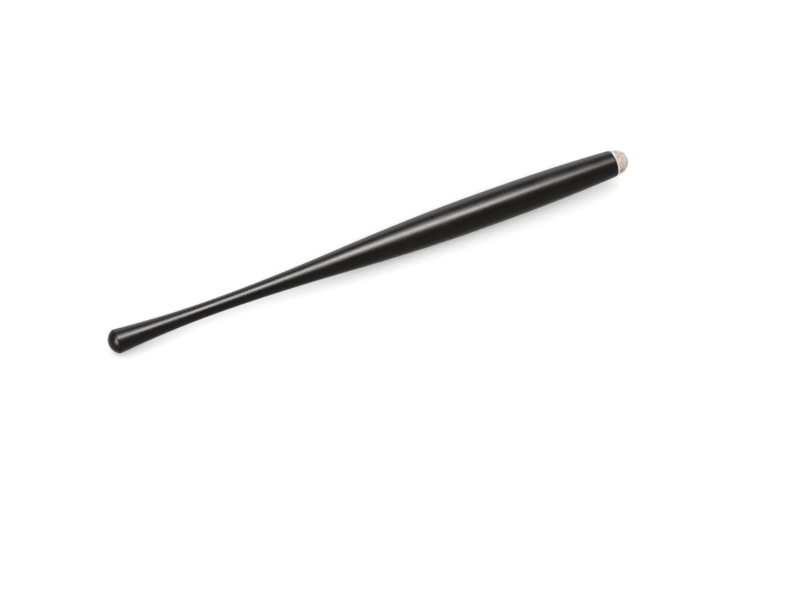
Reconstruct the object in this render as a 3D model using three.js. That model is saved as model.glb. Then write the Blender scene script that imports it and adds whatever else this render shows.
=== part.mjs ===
// A slim turned hand stylus, also used as a soft clay shaper: a black waisted handle with a domed tail plug, and a
// knitted-fibre dome that screws into its mouth. Millimetres. The tool lies along X, its tip towards +X, with +Z up
// and the origin on its axis at the middle of its length.
import * as THREE from "three";

// Handle: outer stations, each a distance from the tail shoulder, a radius, and the slope of the outline there.
const HANDLE_LENGTH = 141.05;
const TAIL = { at: 0, radius: 3.18, slope: -0.093 };
const WAIST = { at: 26.2, radius: 1.89, slope: 0 };
const FLANK = { at: 62.3, radius: 3.14, slope: 0.062 };
const GRIP_FROM = { at: 102.6, radius: 4.53, slope: 0 };
const GRIP_TO = { at: 106.6, radius: 4.53, slope: 0 };
const MOUTH = { at: HANDLE_LENGTH, radius: 3.58, slope: -0.057 };
const MOUTH_EDGE = 0.2; // chamfer on the mouth's outer edge

// Ends: how far the tail's dome and the soft tip stand out of the handle.
const TAIL_DOME = 2;
const TIP_REACH = 4.5;
const TIP_RADIUS = 3.3;

// Thread: M3 coarse, drawn as plain cylinders at its outer and inner diameters.
const STUD_RADIUS = 1.5;
const STUD_LENGTH = 6.4;
const THREAD_CLEARANCE = 0.1;
const INSERT_LENGTH = 9.2;
const INSERT_RECESS = 0.7; // from the mouth to the insert's front face
const INSERT_RADIUS = 2.45;
const INSERT_LEAD_IN = 0.3;

// Tail plug: a spigot pressed into the handle.
const SPIGOT_RADIUS = 1.5;
const SPIGOT_LENGTH = 4;
const SPIGOT_CHAMFER = 0.3;

// Tip: a pressed ferrule round the holder's flange, and a fabric dome over a foam core.
const FERRULE_RADIUS = 3.48;
const FERRULE_FRONT = 0.58; // from the handle's mouth
const FERRULE_SHEET = 0.1;
const FLANGE_RADIUS = 2.85;
const FLANGE_FRONT = 0.5;
const POST_RADIUS = 0.9;
const POST_LENGTH = 1.7;
const FABRIC = 0.35; // thickness of the knitted cover
const PRESS_TRAVEL = 0.4; // how far the soft dome gives under a firm press
const WASHER_THICKNESS = 0.45;
const WASHER_RADIUS = 2.35;

const GAP = 0.05; // clearance between pieces that touch
const SIDES = 24; // round pieces are prisms of this many sides, one of which faces straight down
const CURVE_STEPS = 7; // outline points to each stretch between two stations
const DOME_STEPS = 7;

const OVERALL = TAIL_DOME + HANDLE_LENGTH + TIP_REACH;
const SHOULDER_X = -OVERALL / 2 + TAIL_DOME;
const MOUTH_X = OVERALL / 2 - TIP_REACH;

const finish = {
  blackSatin: { color: 0x1c1b19, roughness: 0.38, metalness: 0.6 },
  brass: { color: 0xb8964f, roughness: 0.35, metalness: 1 },
  nickel: { color: 0xc9c6c0, roughness: 0.25, metalness: 1 },
  nylon: { color: 0xe6e2d6, roughness: 0.6, metalness: 0 },
  foam: { color: 0x3a3a3c, roughness: 0.9, metalness: 0 },
  knit: { color: 0xbfae96, roughness: 0.8, metalness: 0.3 },
};

const point = (radius, along) => new THREE.Vector2(radius, along);

// The points of a smooth curve from one station to the next, leaving out the last.
function stretch(from, to) {
  const third = (to.at - from.at) / 3;
  const curve = new THREE.CubicBezierCurve(
    point(from.radius, from.at),
    point(from.radius + from.slope * third, from.at + third),
    point(to.radius - to.slope * third, to.at - third),
    point(to.radius, to.at),
  );
  return curve.getPoints(CURVE_STEPS).slice(0, -1);
}

// The points of a quarter circle about (0, centre), from its widest point to the axis.
function quarterRound(radius, centre) {
  return Array.from({ length: DOME_STEPS + 1 }, (_, i) => {
    const angle = (i / DOME_STEPS) * (Math.PI / 2);
    return point(i === DOME_STEPS ? 0 : radius * Math.cos(angle), centre + radius * Math.sin(angle));
  });
}

// One turned piece: its outline as (radius, distance along), from the axis to the axis or round a closed section.
function turned(name, outline, look) {
  const geometry = new THREE.LatheGeometry(outline, SIDES, Math.PI / SIDES);
  const mesh = new THREE.Mesh(geometry, new THREE.MeshStandardMaterial(look));
  mesh.name = name;
  return mesh;
}

// A turned ring, from the outline of its section.
function ring(name, section, look) {
  return turned(name, [...section, section[0]], look);
}

// The handle is one turned bar, bored at its mouth for the thread insert and at its tail for the plug's spigot.
function barrel() {
  const boreRadius = INSERT_RADIUS + GAP;
  const boreDepth = INSERT_RECESS + INSERT_LENGTH + GAP;
  const tailBoreRadius = SPIGOT_RADIUS + GAP;
  return turned(
    "barrel",
    [
      point(0, SPIGOT_LENGTH + GAP),
      point(tailBoreRadius, SPIGOT_LENGTH + GAP),
      point(tailBoreRadius, TAIL.at),
      ...stretch(TAIL, WAIST),
      ...stretch(WAIST, FLANK),
      ...stretch(FLANK, GRIP_FROM),
      point(GRIP_FROM.radius, GRIP_FROM.at),
      ...stretch(GRIP_TO, { ...MOUTH, at: MOUTH.at - MOUTH_EDGE }),
      point(MOUTH.radius, MOUTH.at - MOUTH_EDGE),
      point(MOUTH.radius - MOUTH_EDGE, MOUTH.at),
      point(boreRadius, MOUTH.at),
      point(boreRadius, MOUTH.at - boreDepth),
      point(0, MOUTH.at - boreDepth),
    ],
    finish.blackSatin,
  );
}

// The plug's head is a shallow cap of a sphere, as wide as the handle's tail where the two meet.
function tailPlug() {
  const height = TAIL_DOME - GAP;
  const capRadius = (TAIL.radius ** 2 + height ** 2) / (2 * height);
  const capAngle = Math.asin(TAIL.radius / capRadius);
  const cap = Array.from({ length: DOME_STEPS + 1 }, (_, i) => {
    const angle = (i / DOME_STEPS) * capAngle;
    return point(capRadius * Math.sin(angle), capRadius * (1 - Math.cos(angle)) - TAIL_DOME);
  });
  return turned(
    "tail_plug",
    [
      ...cap,
      point(SPIGOT_RADIUS, -GAP),
      point(SPIGOT_RADIUS, SPIGOT_LENGTH - SPIGOT_CHAMFER),
      point(SPIGOT_RADIUS - SPIGOT_CHAMFER, SPIGOT_LENGTH),
      point(0, SPIGOT_LENGTH),
    ],
    finish.blackSatin,
  );
}

// The brass bush that takes the tip's thread, pressed in behind the mouth, with a countersunk front.
function threadInsert() {
  const innerRadius = STUD_RADIUS + THREAD_CLEARANCE;
  const front = -INSERT_RECESS;
  const back = front - INSERT_LENGTH;
  return ring(
    "thread_insert",
    [
      point(innerRadius, back),
      point(INSERT_RADIUS, back),
      point(INSERT_RADIUS, front),
      point(innerRadius + INSERT_LEAD_IN, front),
      point(innerRadius, front - INSERT_LEAD_IN),
    ],
    finish.brass,
  );
}

// The nylon washer on the stud, inside the mouth, that keeps the tip from working loose.
function lockWasher() {
  const innerRadius = STUD_RADIUS + THREAD_CLEARANCE;
  const back = -GAP - WASHER_THICKNESS;
  return ring(
    "lock_washer",
    [
      point(innerRadius, back),
      point(WASHER_RADIUS, back),
      point(WASHER_RADIUS, -GAP),
      point(innerRadius, -GAP),
    ],
    finish.nylon,
  );
}

// The holder: a threaded stud, a flange that closes the mouth, and a post that the core is moulded on.
function tipHolder() {
  const flangeBack = GAP + FERRULE_SHEET + GAP;
  const chamfer = INSERT_LEAD_IN;
  return turned(
    "tip_holder",
    [
      point(0, -STUD_LENGTH),
      point(STUD_RADIUS - chamfer, -STUD_LENGTH),
      point(STUD_RADIUS, chamfer - STUD_LENGTH),
      point(STUD_RADIUS, flangeBack),
      point(FLANGE_RADIUS, flangeBack),
      point(FLANGE_RADIUS, FLANGE_FRONT),
      point(POST_RADIUS, FLANGE_FRONT),
      point(POST_RADIUS, FLANGE_FRONT + POST_LENGTH),
      point(0, FLANGE_FRONT + POST_LENGTH),
    ],
    finish.brass,
  );
}

// The pale ferrule: a shallow pressed cup that grips the skirt of the knitted cover round the flange.
function tipFerrule() {
  const holeRadius = STUD_RADIUS + THREAD_CLEARANCE;
  const wallRadius = TIP_RADIUS + GAP;
  return ring(
    "tip_ferrule",
    [
      point(holeRadius, GAP),
      point(FERRULE_RADIUS, GAP),
      point(FERRULE_RADIUS, FERRULE_FRONT),
      point(wallRadius, FERRULE_FRONT),
      point(wallRadius, GAP + FERRULE_SHEET),
      point(holeRadius, GAP + FERRULE_SHEET),
    ],
    finish.nickel,
  );
}

// The foam core, moulded round the post, with room behind it and over the post for the dome to give.
function tipCore() {
  const radius = TIP_RADIUS - FABRIC - GAP;
  const back = FLANGE_FRONT + PRESS_TRAVEL + GAP;
  const socketRadius = POST_RADIUS + GAP;
  const socketEnd = FLANGE_FRONT + POST_LENGTH + PRESS_TRAVEL + GAP;
  return turned(
    "tip_core",
    [
      point(0, socketEnd),
      point(socketRadius, socketEnd),
      point(socketRadius, back),
      point(radius, back),
      ...quarterRound(radius, TIP_REACH - TIP_RADIUS),
    ],
    finish.foam,
  );
}

// The knitted cover: a thimble of conductive yarn with a straight skirt that runs back into the ferrule.
function tipCover() {
  const centre = TIP_REACH - TIP_RADIUS;
  const innerRadius = TIP_RADIUS - FABRIC;
  const skirtBack = GAP + FERRULE_SHEET + PRESS_TRAVEL;
  return turned(
    "tip_cover",
    [
      ...quarterRound(innerRadius, centre).reverse(),
      point(innerRadius, skirtBack),
      point(TIP_RADIUS, skirtBack),
      ...quarterRound(TIP_RADIUS, centre),
    ],
    finish.knit,
  );
}

// Pieces measured from the tail shoulder, and pieces measured from the handle's mouth.
const fromShoulder = new THREE.Group();
fromShoulder.position.y = SHOULDER_X;
fromShoulder.add(barrel(), tailPlug());

const fromMouth = new THREE.Group();
fromMouth.position.y = MOUTH_X;
fromMouth.add(threadInsert(), lockWasher(), tipHolder(), tipFerrule(), tipCore(), tipCover());

// The outlines are turned about Y, so the whole tool is laid along X.
const tool = new THREE.Group();
tool.name = "knitted_tip_shaper";
tool.rotation.z = -Math.PI / 2;
tool.add(fromShoulder, fromMouth);

export default tool;
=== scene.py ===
"""The looks of a slim black hand stylus with a soft knitted tip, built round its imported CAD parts.

Lengths are in metres, in the part's own frame: X runs along the tool's axis towards the soft tip, and Z
is up. The turned pieces take their outlines from the CAD parts that they replace, with smooth curves and
rounded edges.
"""

import math

import bpy
import numpy as np
from mathutils import Matrix, Vector


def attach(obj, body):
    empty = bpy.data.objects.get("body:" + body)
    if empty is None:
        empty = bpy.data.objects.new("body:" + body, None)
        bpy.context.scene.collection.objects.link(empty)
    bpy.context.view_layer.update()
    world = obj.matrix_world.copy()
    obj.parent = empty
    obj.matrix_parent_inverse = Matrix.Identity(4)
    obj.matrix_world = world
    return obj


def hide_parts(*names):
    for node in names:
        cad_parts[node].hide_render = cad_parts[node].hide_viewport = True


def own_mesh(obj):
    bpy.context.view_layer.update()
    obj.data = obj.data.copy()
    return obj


MM = 0.001
SIDES = 128  # round a turned piece
GAP = 0.05 * MM  # between pieces that touch, as in the CAD
SEAM = 0.015 * MM  # between the handle's tail and its plug
TOLERANCE = 0.002 * MM  # within which a corner is at a place
HOLD = 0.01 * MM  # from a rounded edge to the ring that keeps its shading off the face beside it
FILLET_STEPS = 6
FILLET_SHARE = 0.45  # the most of an outline's side that a fillet takes
CRISP = 40  # degrees, beyond which a piece's edge keeps its crease
OUTWARD = 0.9  # how squarely a face on the outside of the barrel looks away from the axis

# Handle
RING_STEP = 1.0 * MM  # between the turned handle's rings
DOME_STEPS = 24
SHOULDER_STEPS = 4  # of the plug's cap that its rounded shoulder stands in for

# Edges, as fillet radii
MOUTH_EDGE, MOUTH_BORE_EDGE = 0.25 * MM, 0.08 * MM
TAIL_EDGE, TAIL_BORE_EDGE = 0.04 * MM, 0.1 * MM
PLUG_SHOULDER, SPIGOT_NOSE = 0.15 * MM, 0.2 * MM
INSERT_BACK_EDGE, INSERT_FRONT_EDGE, LEAD_IN_EDGE = 0.2 * MM, 0.12 * MM, 0.05 * MM
WASHER_EDGE, WASHER_HOLE_EDGE = 0.14 * MM, 0.1 * MM
NECK_FILLET, FLANGE_EDGE = 0.1 * MM, 0.06 * MM
POST_FOOT, POST_NOSE = 0.1 * MM, 0.15 * MM
FERRULE_BEND, FERRULE_HOLE_EDGE = 0.14 * MM, 0.03 * MM
FERRULE_LIP, FERRULE_INNER_LIP = 0.06 * MM, 0.05 * MM
CORE_EDGE, SOCKET_EDGE = 0.15 * MM, 0.1 * MM
HEM_EDGE = 0.05 * MM

# M3 coarse thread, as radii
PITCH = 0.5 * MM
STUD_CREST, STUD_ROOT = 1.47 * MM, 1.19 * MM
INSERT_CREST, INSERT_ROOT = 1.27 * MM, 1.56 * MM
CREST_FLAT, FLANK = 0.2, 0.55  # shares of half a pitch
STEPS_PER_PITCH = 12
THREAD_FADE = 0.3 * MM  # length over which a groove runs out
BORE_BACK_PLAIN, BORE_FRONT_PLAIN = 0.2 * MM, 0.35 * MM  # bare ends of the insert's bore
BORE_BACK_CHAMFER, LEAD_IN = 0.1 * MM, 0.3 * MM
STUD_TAPER = 0.28 * MM  # length of the stud's bare end
STUD_NOSE = 0.08 * MM  # how much thinner than the thread's root the stud ends
STUD_STOP = 0.1 * MM  # from the stud's thread to the washer
NECK_START = 0.05 * MM  # from the stud's neck to the washer
NECK_OVER_ROOT = 0.05 * MM

# Knitted cover
CLOTH = 0.12 * MM  # the backing's thickness
YARN = 0.1 * MM  # radius
PLY = 0.16  # share of the yarn's radius by which its two plies stand out
PLY_TURN = 0.5 * MM
WALE = 0.58 * MM  # width of one loop
COURSE = 0.43 * MM  # height of one row of loops
LOOP_REACH = 0.36 * MM  # how far a loop's head and foot stand from the middle of its row
LOOP_NECK = 0.13  # share of a wale by which a loop's legs lean together
LOOP_DEPTH = 0.07 * MM
LOOP_STEPS = 14
YARN_SIDES = 8
KNIT_TURN = math.radians(35)  # of the cloth's rows about the tool's axis
CLAMPED = 0.35 * MM  # length of skirt held in the ferrule
SEED = 14
PATCHES = (17.8, 16.8, 18.4)  # shift of the noise that lays out its silver and champagne patches

# Floor and camera
FLOOR_SIZE = 60.0
FLOOR_MOTTLE = 0.05
SENSOR_WIDTH, FOCAL_LENGTH = 36, 144.09  # mm
CAMERA_PLACE = (-0.24412, -0.55848, 0.54872)
CAMERA_TURN = (47.023, 2.253, -26.2485)  # degrees
NEAR, FAR = 0.01, 20  # the camera's clipping distances

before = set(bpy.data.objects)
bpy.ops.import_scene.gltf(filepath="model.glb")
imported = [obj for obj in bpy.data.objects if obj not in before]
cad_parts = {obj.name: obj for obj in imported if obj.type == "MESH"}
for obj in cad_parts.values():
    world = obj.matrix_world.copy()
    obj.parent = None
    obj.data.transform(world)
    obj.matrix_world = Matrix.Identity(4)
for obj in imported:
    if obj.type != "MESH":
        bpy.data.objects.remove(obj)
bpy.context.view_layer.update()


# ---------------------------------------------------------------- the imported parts


def corners(node):
    """The (x, radius) of a packed turned node's corners."""
    places = np.array([v.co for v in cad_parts[node].data.vertices])
    return np.column_stack([places[:, 0], np.hypot(places[:, 1], places[:, 2])])


def radii(node, x):
    """The smallest and largest radius of a node's corners at x."""
    at, radius = corners(node).T
    there = radius[np.abs(at - x) < TOLERANCE]
    return there.min(), there.max()


def ends(node, radius=None):
    """The lowest and highest x of a node's corners, or of those at one radius."""
    at, found = corners(node).T
    there = at if radius is None else at[np.abs(found - radius) < TOLERANCE]
    return there.min(), there.max()


def handle_stations():
    """The (x, radius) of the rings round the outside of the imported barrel, from tail to mouth."""
    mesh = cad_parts["barrel"].data
    found = {}
    for face in mesh.polygons:
        outward = Vector((0, face.center.y, face.center.z)).normalized()
        if face.normal.dot(outward) > OUTWARD:
            for i in face.vertices:
                x, y, z = mesh.vertices[i].co
                found[round(x, 6)] = math.hypot(y, z)
    return np.array(sorted(found.items()))


def spline(stations, x):
    """The radius at each x on a smooth cubic curve through the stations."""
    at, radius = stations.T
    step = np.diff(at)
    rise = np.diff(radius) / step
    n = len(at)
    system = np.zeros((n, n))
    right = np.zeros(n)
    system[0, 0] = system[-1, -1] = 1
    for i in range(1, n - 1):
        system[i, i - 1 : i + 2] = step[i - 1], 2 * (step[i - 1] + step[i]), step[i]
        right[i] = 6 * (rise[i] - rise[i - 1])
    bend = np.linalg.solve(system, right)
    i = np.clip(np.searchsorted(at, x) - 1, 0, n - 2)
    left, gone = at[i + 1] - x, x - at[i]
    curve = (bend[i] * left**3 + bend[i + 1] * gone**3) / (6 * step[i])
    start = (radius[i] / step[i] - bend[i] * step[i] / 6) * left
    end = (radius[i + 1] / step[i] - bend[i + 1] * step[i] / 6) * gone
    return curve + start + end


# ---------------------------------------------------------------- meshes


def piece(name, points, faces, look, crisp=CRISP):
    """A smooth-shaded mesh piece, with its edges sharper than crisp degrees kept crisp."""
    mesh = bpy.data.meshes.new(name)
    mesh.from_pydata(np.asarray(points).tolist(), [], [[int(i) for i in face] for face in faces])
    mesh.polygons.foreach_set("use_smooth", [True] * len(mesh.polygons))
    if crisp:
        mesh.set_sharp_from_angle(angle=math.radians(crisp))
    mesh.materials.append(look)
    made = bpy.data.objects.new(name, mesh)
    bpy.context.scene.collection.objects.link(made)
    return made


def rounded(outline, closed=False):
    """The (x, radius) points of an outline of (x, radius, fillet) corners, each rounded to its fillet."""
    points = []
    count = len(outline)
    for i, (x, radius, fillet) in enumerate(outline):
        corner = Vector((x, radius))
        if not fillet or (not closed and i in (0, count - 1)):
            points.append(corner)
            continue
        before = Vector(outline[i - 1][:2]) - corner
        after = Vector(outline[(i + 1) % count][:2]) - corner
        half = before.angle(after) / 2
        back = min(fillet / math.tan(half), before.length * FILLET_SHARE, after.length * FILLET_SHARE)
        before.normalize()
        after.normalize()
        middle = corner + (before + after).normalized() * (back / math.cos(half))
        start, end = corner + before * back - middle, corner + after * back - middle
        spokes = [start.slerp(end, k / FILLET_STEPS, start) for k in range(FILLET_STEPS + 1)]
        points.append(corner + before * (back + HOLD))
        points += [middle + spoke.normalized() * start.length for spoke in spokes]
        points.append(corner + after * (back + HOLD))
    return np.array([tuple(p) for p in points])


def groove(phase):
    """The depth, 0 to 1, of a V thread at each phase of its pitch, with flats at its crest and root."""
    across = np.abs(2 * (phase - np.floor(phase)) - 1)
    return np.clip((across - CREST_FLAT) / FLANK, 0, 1)


def turned(name, outline, look, closed=False, thread=0):
    """A piece turned about X from (x, radius) points: from axis to axis, or a ring if closed.

    thread is the depth at each point of a screw groove that is cut into the piece towards the axis."""
    outline = np.asarray(outline)
    angles = np.arange(SIDES) * (2 * math.pi / SIDES)
    x, radius = outline[:, :1], outline[:, 1:]
    depth = np.broadcast_to(thread, len(outline))[:, None]
    radius = radius - depth * groove(x / PITCH - angles / (2 * math.pi))
    grid = np.stack([x + 0 * radius, radius * np.cos(angles), radius * np.sin(angles)], axis=-1)
    here = np.arange(SIDES)
    beside = np.roll(here, -1)
    faces = []
    if not closed:
        tail, tip = grid[0, 0], grid[-1, 0]
        grid = grid[1:-1]
        last = len(grid) * SIDES
        faces += [(last, a, b) for a, b in zip(here, beside)]
        faces += [(last + 1, last - SIDES + b, last - SIDES + a) for a, b in zip(here, beside)]
    rows = len(grid)
    for i in range(rows if closed else rows - 1):
        j = (i + 1) % rows
        faces += [
            (i * SIDES + a, j * SIDES + a, j * SIDES + b, i * SIDES + b) for a, b in zip(here, beside)
        ]
    points = grid.reshape(-1, 3)
    if not closed:
        points = np.vstack([points, tail, tip])
    return piece(name, points, faces, look)


def dome(middle, radius, start, end):
    """The (x, radius) points of an arc about a point on the axis, by angle in degrees from +X."""
    angles = np.radians(np.linspace(start, end, DOME_STEPS + 1))
    return np.column_stack([middle + radius * np.cos(angles), radius * np.sin(angles)])


def threaded(back, front, radius):
    """The points of a threaded length, and the share of its full depth that the groove has at each."""
    count = int(round((front - back) / PITCH * STEPS_PER_PITCH))
    x = np.linspace(back, front, count + 1)
    share = np.clip(np.minimum(x - back, front - x) / THREAD_FADE, 0, 1)
    return np.column_stack([x, np.full(len(x), radius)]), share


# ---------------------------------------------------------------- materials


class Look:
    """A procedural material in the piece's own coordinates, so that it stays put as the piece moves."""

    def __init__(self, name, **constants):
        self.material = bpy.data.materials.new(name)
        self.material.use_nodes = True
        self.tree = self.material.node_tree
        self.shader = self.tree.nodes["Principled BSDF"]
        for socket, value in constants.items():
            self.shader.inputs[socket.replace("_", " ")].default_value = value
        self.place = self.tree.nodes.new("ShaderNodeTexCoord").outputs["Object"]

    def link(self, source, node, socket):
        """Feeds a number, a colour or another node's output into a node's socket."""
        if isinstance(source, (int, float)):
            node.inputs[socket].default_value = source
        elif isinstance(source, tuple):
            node.inputs[socket].default_value = (*source, 1)
        else:
            self.tree.links.new(source, node.inputs[socket])

    def grain(self, size, detail=2.0, stretch=(1, 1, 1), offset=(0, 0, 0)):
        """Noise from 0 to 1 with features of that size, drawn out along each axis by its stretch.

        offset picks another part of the noise, in features."""
        mapping = self.tree.nodes.new("ShaderNodeMapping")
        mapping.inputs["Scale"].default_value = [1 / (size * s) for s in stretch]
        mapping.inputs["Location"].default_value = offset
        self.link(self.place, mapping, "Vector")
        noise = self.tree.nodes.new("ShaderNodeTexNoise")
        noise.inputs["Scale"].default_value = 1
        noise.inputs["Detail"].default_value = detail
        self.link(mapping.outputs[0], noise, "Vector")
        return noise.outputs["Fac"]

    def spread(self, source, low, high, start=0.3, end=0.7):
        """source, from start to end, turned into low to high."""
        node = self.tree.nodes.new("ShaderNodeMapRange")
        self.link(source, node, "Value")
        for socket, value in (("From Min", start), ("From Max", end), ("To Min", low), ("To Max", high)):
            node.inputs[socket].default_value = value
        return node.outputs["Result"]

    def along(self):
        """The distance along the tool's axis."""
        node = self.tree.nodes.new("ShaderNodeSeparateXYZ")
        self.link(self.place, node, "Vector")
        return node.outputs["X"]

    def math(self, operation, a, b):
        node = self.tree.nodes.new("ShaderNodeMath")
        node.operation = operation
        self.link(a, node, 0)
        self.link(b, node, 1)
        return node.outputs[0]

    def mix(self, share, a, b):
        """Colour a, turning into b as share goes from 0 to 1. Each is a colour or another mix."""
        node = self.tree.nodes.new("ShaderNodeMix")
        node.data_type = "RGBA"
        self.link(share, node, 0)
        self.link(a, node, 6)
        self.link(b, node, 7)
        return node.outputs[2]

    def bump(self, height, depth, over=None):
        """The normal of a surface raised by depth metres where height is 1, on top of another bump."""
        node = self.tree.nodes.new("ShaderNodeBump")
        node.inputs["Distance"].default_value = depth
        self.link(height, node, "Height")
        if over is not None:
            self.link(over, node, "Normal")
        return node.outputs["Normal"]

    def attribute(self, name):
        """A value that the mesh holds for each point."""
        node = self.tree.nodes.new("ShaderNodeAttribute")
        node.attribute_name = name
        return node.outputs["Fac"]

    def finish(self, **sources):
        """Drives the shader's sockets from nodes, and gives back the material."""
        for socket, source in sources.items():
            self.link(source, self.shader, socket.replace("_", " "))
        return self.material


def lacquer(name, rim):
    """Black satin lacquer with a faint orange peel, handling marks, and a rubbed edge at x = rim."""
    look = Look(name, Specular_IOR_Level=0.12, Specular_Tint=(1, 0.95, 0.9, 1))
    handled = look.grain(6 * MM, detail=4)
    specks = look.grain(0.25 * MM, detail=3, stretch=(3, 1, 1))
    from_rim = look.math("ABSOLUTE", look.math("SUBTRACT", look.along(), float(rim)), 0)
    near_rim = look.spread(from_rim, 1, 0, 0, 0.35 * MM)
    rubbed = look.math("MULTIPLY", near_rim, look.spread(look.grain(0.4 * MM, detail=3), 0, 1, 0.45, 0.7))
    black = look.mix(look.spread(handled, 0, 1), (0.0012, 0.0009, 0.0008), (0.0022, 0.0018, 0.0015))
    flecked = look.mix(look.spread(specks, 0, 1, 0.66, 0.8), black, (0.006, 0.005, 0.0045))
    gloss = look.math("ADD", look.spread(handled, 0.23, 0.30), look.spread(specks, 0, 0.02, 0.55, 0.8))
    peel = look.bump(look.grain(0.7 * MM, detail=1), 1.4e-6)
    return look.finish(
        Base_Color=look.mix(rubbed, flecked, (0.05, 0.036, 0.026)),
        Roughness=look.math("ADD", gloss, look.math("MULTIPLY", rubbed, 0.12)),
        Normal=look.bump(look.grain(0.07 * MM, detail=2), 0.15e-6, over=peel),
    )


def metal(name, dull, bright, roughness, lines):
    """Turned metal: fine lines round the axis, and a tarnish that comes and goes."""
    look = Look(name, Metallic=1)
    tarnish = look.grain(0.9 * MM, detail=4)
    cut = look.grain(lines, detail=3, stretch=(1, 60, 60))
    dulled = look.spread(tarnish, roughness + 0.08, roughness - 0.04)
    return look.finish(
        Base_Color=look.mix(look.spread(tarnish, 0, 1), dull, bright),
        Roughness=look.math("ADD", dulled, look.spread(cut, 0, 0.08)),
        Normal=look.bump(cut, 1.2e-6, over=look.bump(look.grain(0.12 * MM), 1e-6)),
    )


def moulded_nylon():
    look = Look("nylon", Subsurface_Weight=0.25, Subsurface_Scale=0.4 * MM)
    cloud = look.grain(0.6 * MM, detail=3)
    return look.finish(
        Base_Color=look.mix(look.spread(cloud, 0, 1), (0.70, 0.67, 0.60), (0.84, 0.82, 0.77)),
        Roughness=look.spread(cloud, 0.42, 0.55),
        Normal=look.bump(look.grain(0.08 * MM, detail=3), 3e-6),
    )


def foam_rubber():
    look = Look("foam", Specular_IOR_Level=0.3)
    cells = look.grain(0.12 * MM, detail=4)
    return look.finish(
        Base_Color=look.mix(look.spread(cells, 0, 1), (0.02, 0.02, 0.021), (0.07, 0.07, 0.073)),
        Roughness=look.spread(cells, 0.95, 0.8),
        Normal=look.bump(cells, 25e-6),
    )


def metallised(name, lit):
    """Silver-grey yarn with champagne in it, in patches and from loop to loop, and painted shade between
    the yarns. The last argument scales its colours; the backing's 0.5 is painted shade seen through the
    knit.
    """
    look = Look(name, Metallic=0.25, Sheen_Weight=0.35, Sheen_Roughness=0.4)
    # The third colour is painted shade for the hollows between the yarns, and also the colour of darker
    # loops of yarn.
    colours = (0.63, 0.63, 0.59), (0.67, 0.53, 0.43), (0.24, 0.20, 0.165)
    # The scale makes darker copies of these colours; the backing's half brightness is painted shade.
    silver, champagne, hollow_shade_and_dark_yarn = (tuple(lit * c for c in colour) for colour in colours)
    loop = look.attribute("shade")
    patch = look.spread(look.grain(1.6 * MM, offset=PATCHES), -0.3, 0.7, 0.35, 0.65)
    share = look.math("ADD", patch, look.spread(loop, -0.4, 0.8, 0, 1))
    mottle = look.grain(0.11 * MM, detail=3)
    # Painted shade: fine patches darkened towards the third colour, for shade in the hollows between the
    # yarns. Loops low in the per-loop attribute are darker yarn as well.
    between = look.spread(mottle, 0.75, 0, 0.3, 0.6)
    painted_shade_and_dark_loops = look.math("ADD", between, look.spread(loop, 0.65, 0, 0.1, 0.7))
    return look.finish(
        Base_Color=look.mix(painted_shade_and_dark_loops, look.mix(share, silver, champagne), hollow_shade_and_dark_yarn),
        Roughness=look.spread(mottle, 0.62, 0.46),
        Normal=look.bump(look.grain(0.035 * MM, detail=3), 6e-6),
    )


# ---------------------------------------------------------------- the handle

stations = handle_stations()
tail_x, mouth_x = stations[0, 0], ends("barrel")[1]
skin_x = np.linspace(tail_x, mouth_x, int(round((mouth_x - tail_x) / RING_STEP)) + 1)
skin = np.column_stack([skin_x, spline(stations, skin_x)])
tail_radius, mouth_radius = skin[0, 1], skin[-1, 1]

shoulder_x = tail_x - SEAM
plug_apex, spigot_end = ends("tail_plug")
spigot_radius = radii("tail_plug", tail_x - GAP)[0]
insert_back, insert_front = ends("thread_insert")
insert_radius = radii("thread_insert", insert_back)[1]

tail_end = [
    (spigot_end + GAP, 0, 0),
    (spigot_end + GAP, spigot_radius + GAP, 0),
    (tail_x, spigot_radius + GAP, TAIL_BORE_EDGE),
    (tail_x, tail_radius, TAIL_EDGE),
    (*skin[1], 0),
]
mouth_end = [
    (*skin[-2], 0),
    (mouth_x, mouth_radius, MOUTH_EDGE),
    (mouth_x, insert_radius + GAP, MOUTH_BORE_EDGE),
    (insert_back - GAP, insert_radius + GAP, 0),
    (insert_back - GAP, 0, 0),
]
barrel = turned(
    "barrel_lacquered",
    np.vstack([rounded(tail_end), skin[2:-2], rounded(mouth_end)]),
    lacquer("handle_lacquer", mouth_x),
)

# The plug's head is a cap of a sphere that springs from the handle's rim, its shoulder eased.
cap_height = shoulder_x - plug_apex
cap_radius = (tail_radius**2 + cap_height**2) / (2 * cap_height)
cap_angle = math.degrees(math.asin(tail_radius / cap_radius))
cap = dome(plug_apex + cap_radius, cap_radius, 180, 180 - cap_angle)
head_end = [
    (*cap[-SHOULDER_STEPS], 0),
    (shoulder_x, tail_radius, PLUG_SHOULDER),
    (shoulder_x, spigot_radius, 0),
    (spigot_end, spigot_radius, SPIGOT_NOSE),
    (spigot_end, 0, 0),
]
plug = turned(
    "tail_plug_lacquered",
    np.vstack([cap[:-SHOULDER_STEPS], rounded(head_end)]),
    lacquer("tail_lacquer", shoulder_x),
)

# ---------------------------------------------------------------- the screw-in tip

brass = metal("brass", (0.50, 0.34, 0.14), (0.78, 0.58, 0.28), 0.3, 0.05 * MM)
nickel = metal("nickel", (0.6, 0.54, 0.5), (0.72, 0.65, 0.6), 0.4, 0.04 * MM)

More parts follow.
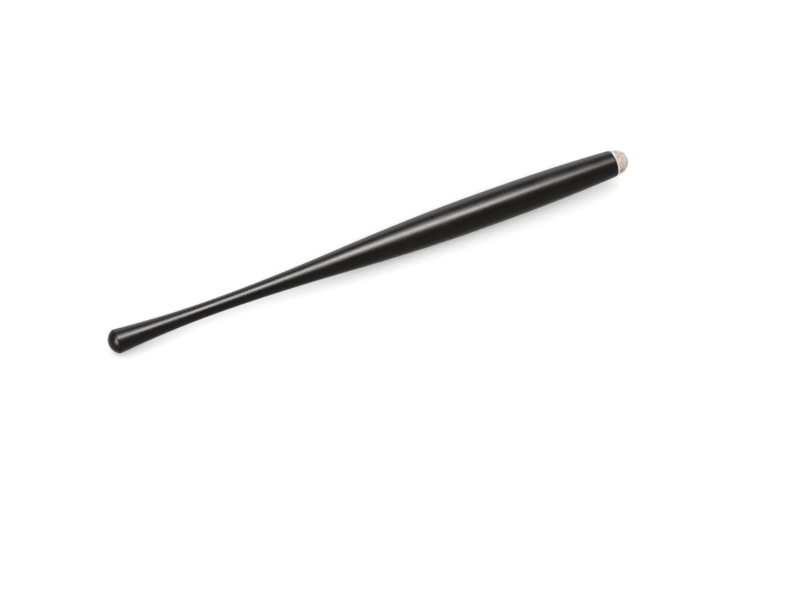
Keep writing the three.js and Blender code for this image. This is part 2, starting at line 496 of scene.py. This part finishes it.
bore, bore_share = threaded(
    insert_back + BORE_BACK_PLAIN, insert_front - BORE_FRONT_PLAIN, INSERT_ROOT
)
bush_outside = [
    (insert_back, INSERT_ROOT + BORE_BACK_CHAMFER, 0),
    (insert_back, insert_radius, INSERT_BACK_EDGE),
    (insert_front, insert_radius, INSERT_FRONT_EDGE),
    (insert_front, INSERT_ROOT + LEAD_IN, LEAD_IN_EDGE),
    (insert_front - LEAD_IN, INSERT_ROOT, 0),
]
bush = np.vstack([rounded(bush_outside), bore[::-1]])
bush_thread = np.zeros(len(bush))
bush_thread[-len(bore) :] = bore_share[::-1] * (INSERT_ROOT - INSERT_CREST)
insert = turned("thread_insert_tapped", bush, brass, closed=True, thread=bush_thread)

washer_back, washer_front = ends("lock_washer")
washer_inner, washer_outer = radii("lock_washer", washer_back)
washer_section = [
    (washer_back, washer_inner, WASHER_HOLE_EDGE),
    (washer_back, washer_outer, WASHER_EDGE),
    (washer_front, washer_outer, WASHER_EDGE),
    (washer_front, washer_inner, WASHER_HOLE_EDGE),
]
washer = turned(
    "lock_washer_moulded", rounded(washer_section, closed=True), moulded_nylon(), closed=True
)

stud_end, post_end = ends("tip_holder")
flange_radius = corners("tip_holder")[:, 1].max()
flange_back, flange_front = ends("tip_holder", flange_radius)
post_radius = radii("tip_holder", flange_front)[0]
neck_radius = STUD_ROOT + NECK_OVER_ROOT
screw, screw_share = threaded(stud_end + STUD_TAPER, washer_back - STUD_STOP, STUD_CREST)
holder_front = [
    (washer_back - NECK_START, neck_radius, 0),
    (flange_back, neck_radius, NECK_FILLET),
    (flange_back, flange_radius, FLANGE_EDGE),
    (flange_front, flange_radius, FLANGE_EDGE),
    (flange_front, post_radius, POST_FOOT),
    (post_end, post_radius, POST_NOSE),
    (post_end, 0, 0),
]
stud_start = [(stud_end, 0), (stud_end, STUD_ROOT - STUD_NOSE)]
holder_outline = np.vstack([stud_start, screw, rounded(holder_front)])
holder_thread = np.zeros(len(holder_outline))
cut_from = len(stud_start)
holder_thread[cut_from : cut_from + len(screw)] = screw_share * (STUD_CREST - STUD_ROOT)
holder = turned("tip_holder_threaded", holder_outline, brass, thread=holder_thread)

ferrule_back, ferrule_front = ends("tip_ferrule")
ferrule_hole, ferrule_radius = radii("tip_ferrule", ferrule_back)
ferrule_wall = radii("tip_ferrule", ferrule_front)[0]
sheet_metal = ferrule_radius - ferrule_wall
ferrule_section = [
    (ferrule_back, ferrule_hole, FERRULE_HOLE_EDGE),
    (ferrule_back, ferrule_radius, FERRULE_BEND),
    (ferrule_front, ferrule_radius, FERRULE_LIP),
    (ferrule_front, ferrule_wall, FERRULE_INNER_LIP),
    (ferrule_back + sheet_metal, ferrule_wall, FERRULE_INNER_LIP),
    (ferrule_back + sheet_metal, ferrule_hole, FERRULE_HOLE_EDGE),
]
ferrule = turned("tip_ferrule_plated", rounded(ferrule_section, closed=True), nickel, closed=True)

core_back = ends("tip_core")[0]
socket_radius, core_radius = radii("tip_core", core_back)
socket_end = ends("tip_core", socket_radius)[1]
cover_back, tip_x = ends("tip_cover")
lining_radius, tip_radius = radii("tip_cover", cover_back)
dome_middle = tip_x - tip_radius

core_dome = dome(dome_middle, core_radius, 90, 0)
core_base = [
    (socket_end, 0, 0),
    (socket_end, socket_radius, SOCKET_EDGE),
    (core_back, socket_radius, SOCKET_EDGE),
    (core_back, core_radius, CORE_EDGE),
    (*core_dome[0], 0),
]
core = turned("tip_core_foamed", np.vstack([rounded(core_base), core_dome[1:]]), foam_rubber())

skirt_back = ferrule_front - CLAMPED
cloth_radius = lining_radius + CLOTH
lining = dome(dome_middle, lining_radius, 0, 90)
cloth_face = dome(dome_middle, cloth_radius, 90, 0)
hem = [
    (*lining[-1], 0),
    (skirt_back, lining_radius, HEM_EDGE),
    (skirt_back, cloth_radius, HEM_EDGE),
    (*cloth_face[0], 0),
]
cover = turned(
    "tip_cover_cloth",
    np.vstack([lining[:-1], rounded(hem), cloth_face[1:]]),
    # The backing is the yarn's material at half brightness: painted shade seen between the loops of the
    # knit.
    metallised("cloth_backing_painted_shade", 0.5),
)

# ---------------------------------------------------------------- the knit


def laid_on_dome(u, v, height, radius):
    """Points of a flat cloth pulled over the tip, and the way out of the surface at each.

    The cloth keeps its area: it stretches down the dome's sides as it narrows round them."""
    out = np.hypot(u, v)
    edge = math.sqrt(2) * radius
    angle = 2 * np.arcsin(np.clip(out / (2 * radius), 0, math.sqrt(0.5)))
    down = np.maximum(out - edge, 0) * math.sqrt(2)
    side = np.stack([v, u], axis=-1) / np.maximum(out, 1e-12)[:, None]
    normal = np.column_stack([np.cos(angle), np.sin(angle)[:, None] * side])
    points = np.array([dome_middle, 0, 0]) + (radius + height)[:, None] * normal
    points[:, 0] -= down
    return points, normal


def knitted(name, look):
    """Rows of yarn loops, each hooked through the row before, over the whole tip."""
    random = np.random.default_rng(SEED)
    radius = tip_radius - YARN - LOOP_DEPTH
    edge = math.sqrt(2) * radius + (dome_middle - skirt_back - YARN) / math.sqrt(2)
    rows = int(edge / COURSE)
    points, faces, shades = [], [], []
    total = 0
    for row in range(-rows, rows + 1):
        half = int(math.sqrt(max(edge**2 - (row * COURSE) ** 2, 0)) / WALE)
        if half < 1:
            continue
        steps = np.arange(-half * LOOP_STEPS, half * LOOP_STEPS + 1)
        t = steps * (2 * math.pi / LOOP_STEPS)
        u = WALE * (t / (2 * math.pi) + LOOP_NECK * np.sin(2 * t))
        v = row * COURSE + LOOP_REACH * np.cos(t)
        height = -LOOP_DEPTH * np.cos(2 * t)
        turn_u = u * math.cos(KNIT_TURN) - v * math.sin(KNIT_TURN)
        turn_v = u * math.sin(KNIT_TURN) + v * math.cos(KNIT_TURN)
        path, outward = laid_on_dome(turn_u, turn_v, height, radius)
        forward = np.gradient(path, axis=0)
        length = np.linalg.norm(forward, axis=1)
        forward /= length[:, None]
        side = np.cross(forward, outward)
        side /= np.linalg.norm(side, axis=1)[:, None]
        up = np.cross(side, forward)
        twist = np.cumsum(length) * (2 * math.pi / PLY_TURN)
        angle = np.arange(YARN_SIDES) * (2 * math.pi / YARN_SIDES)
        thick = YARN * (1 - PLY / 2 + PLY * np.cos(2 * angle[None] - twist[:, None]))
        ring = (
            path[:, None]
            + thick[..., None] * np.cos(angle)[None, :, None] * side[:, None]
            + thick[..., None] * np.sin(angle)[None, :, None] * up[:, None]
        )
        count = len(path)
        points.append(ring.reshape(-1, 3))
        loops = random.random(2 * half + 1)
        shades.append(np.repeat(loops[np.rint(steps / LOOP_STEPS).astype(int) + half], YARN_SIDES))
        start = np.arange(count - 1)[:, None] * YARN_SIDES + total
        here = np.arange(YARN_SIDES)[None]
        beside = np.roll(here, -1)
        onward = start + YARN_SIDES
        quads = np.stack([start + here, start + beside, onward + beside, onward + here], axis=-1)
        faces += quads.reshape(-1, 4).tolist()
        faces.append((total + here[0, ::-1]).tolist())
        faces.append((total + (count - 1) * YARN_SIDES + here[0]).tolist())
        total += count * YARN_SIDES
    made = piece(name, np.vstack(points), faces, look, crisp=None)
    shade = made.data.attributes.new("shade", "FLOAT", "POINT")
    shade.data.foreach_set("value", np.concatenate(shades).astype(np.float32))
    return made


knit = knitted("tip_cover_knit", metallised("knit_yarn", 1.0))

# ---------------------------------------------------------------- what stands for what, and what moves

for made, node, body, slot in (
    (barrel, "barrel", "handle", "black_satin_metal"),
    (plug, "tail_plug", "handle", "black_satin_metal"),
    (insert, "thread_insert", "handle", "brass"),
    (washer, "lock_washer", "washer", "nylon"),
    (holder, "tip_holder", "tip", "brass"),
    (ferrule, "tip_ferrule", "tip", "nickel_plate"),
    (core, "tip_core", "tip", "foam"),
    (cover, "tip_cover", "tip", "conductive_knit"),
):
    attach(made, body)
    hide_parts(node)
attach(knit, "tip")

# The soft pieces of the tip get meshes of their own.
for soft in (core, cover, knit):
    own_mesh(soft)

# ---------------------------------------------------------------- floor, lights and camera

# The tool lies on its tail's rim and on the widest part of its grip, so the table leans a little here.
grip = skin[skin[:, 1].argmax()]
lean = math.atan2(tail_radius - grip[1], grip[0] - tail_x)
bpy.ops.mesh.primitive_plane_add(size=FLOOR_SIZE)
floor = bpy.context.object
floor.name = "floor"
floor.matrix_world = Matrix.Translation((tail_x, 0, -tail_radius)) @ Matrix.Rotation(-lean, 4, "Y")
paper = Look("floor_paper", Specular_IOR_Level=0.0, Roughness=1.0)
mottled = paper.grain(FLOOR_MOTTLE, detail=3)
floor.data.materials.append(
    paper.finish(Base_Color=paper.mix(mottled, (0.79, 0.79, 0.79), (0.81, 0.81, 0.81)))
)


def softbox(name, place, size, radiance, tint=(1, 1, 1), only=None, diffuse=True, glossy=True):
    """An area light at a place, size metres across and facing the tool. It lights the pieces in only."""
    lamp = bpy.data.lights.new(name, "AREA")
    lamp.shape = "RECTANGLE"
    lamp.size, lamp.size_y = size
    lamp.energy = radiance * math.pi * size[0] * size[1]
    lamp.color = tint
    made = bpy.data.objects.new(name, lamp)
    made.location = place
    made.rotation_euler = Vector(place).to_track_quat("Z", "Y").to_euler()
    made.visible_diffuse, made.visible_glossy, made.visible_camera = diffuse, glossy, False
    bpy.context.scene.collection.objects.link(made)
    if only:
        made.light_linking.receiver_collection = bpy.data.collections.new(name + "_lights")
        for lit in only:
            made.light_linking.receiver_collection.objects.link(lit)


# Black lacquer shows about a hundredth of what it mirrors, so the gloss lamps are strong and show in it
# alone. One lamp is for the small parts in and round the mouth and one for the soft tip, and the fills
# light only the floor.
lacquered = (barrel, plug)
softbox("overhead_gloss", (0.22, -0.25, 1.12), (0.28, 0.7), 62, only=lacquered, diffuse=False)
softbox("overhead_gloss_wide", (0.13, -0.26, 1.12), (0.8, 1.15), 15.5, only=lacquered, diffuse=False)
softbox("behind_gloss", (0.45, 1.25, 0.6), (2.4, 1.0), 2.3, only=lacquered, diffuse=False)
cool = (0.9, 0.92, 1)
softbox("left_gloss", (-0.9, -0.45, 0.7), (0.7, 1.4), 30, tint=cool, only=(plug,), diffuse=False)
softbox("left_gloss_soft", (-0.9, -0.45, 0.7), (0.7, 1.4), 6, only=(barrel,), diffuse=False)
softbox("right_gloss_soft", (1.1, -0.2, 0.8), (0.7, 1.4), 6, only=lacquered, diffuse=False)
softbox("overhead", (0.6, 0.5, 1.15), (0.6, 0.6), 2.8, only=(insert, washer, holder, ferrule))
soft_tip = (core, cover, knit)
softbox("overhead_soft", (0, 0, 1.27), (1.4, 1.4), 5.1, tint=(0.95, 0.98, 1), only=soft_tip)
softbox("behind", (0.2, 1.5, 0.5), (1.8, 0.8), 3.2, glossy=False)
softbox("left_fill", (-0.9, -1.05, 0.6), (1.8, 1.0), 2.9, only=(floor,))
softbox("front_fill", (0.1, -1.3, 0.9), (1.8, 1.0), 2.5, only=(floor,))

scene = bpy.context.scene
scene.view_settings.view_transform = "Standard"
world = bpy.data.worlds.new("studio")
scene.world = world
world.use_nodes = True
background = world.node_tree.nodes["Background"]
background.inputs["Color"].default_value = (1, 1, 1, 1)
background.inputs["Strength"].default_value = 1

lens = bpy.data.cameras.new("camera")
lens.sensor_width = SENSOR_WIDTH
lens.lens = FOCAL_LENGTH
lens.clip_start, lens.clip_end = NEAR, FAR
camera = bpy.data.objects.new("camera", lens)
camera.location = CAMERA_PLACE
camera.rotation_euler = [math.radians(a) for a in CAMERA_TURN]
scene.collection.objects.link(camera)
scene.camera = camera
